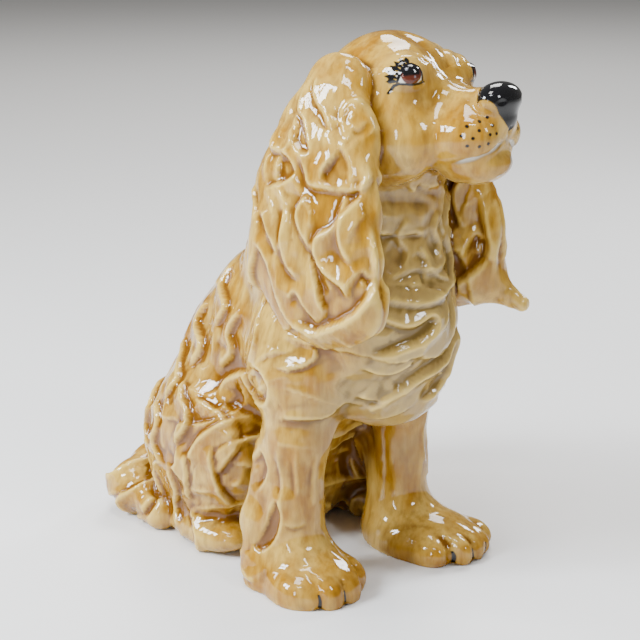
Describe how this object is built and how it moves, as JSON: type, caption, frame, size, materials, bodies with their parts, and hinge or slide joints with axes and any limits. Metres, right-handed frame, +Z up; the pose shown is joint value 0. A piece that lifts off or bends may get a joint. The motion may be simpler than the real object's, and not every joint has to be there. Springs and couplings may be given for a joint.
{
  "type": "ceramic dog figurine",
  "caption": "Seated long-eared spaniel figurine in glossy honey-coloured glazed earthenware, a free-standing ornament with hollow cast body and head.",
  "frame": {"origin": "middle of the bounding box, on the plane the figurine stands on", "axes": "+Z up; the dog sits facing -Y, with its own right side at -X and its head turned towards +X"},
  "size_m": [0.2054, 0.33, 0.3736],
  "materials": {
    "cream_glaze": "glossy translucent cream glaze over earthenware",
    "honey_glaze": "glossy translucent honey glaze over earthenware",
    "caramel_glaze": "glossy translucent caramel glaze over earthenware"
  },
  "bodies": {
    "root": {"body_casting": "cream_glaze", "head_casting": "honey_glaze", "right_ear": "caramel_glaze", "left_ear": "caramel_glaze", "right_foreleg": "honey_glaze", "left_foreleg": "honey_glaze", "right_haunch": "honey_glaze", "left_haunch": "honey_glaze", "tail": "honey_glaze"}
  },
  "joints": []
}
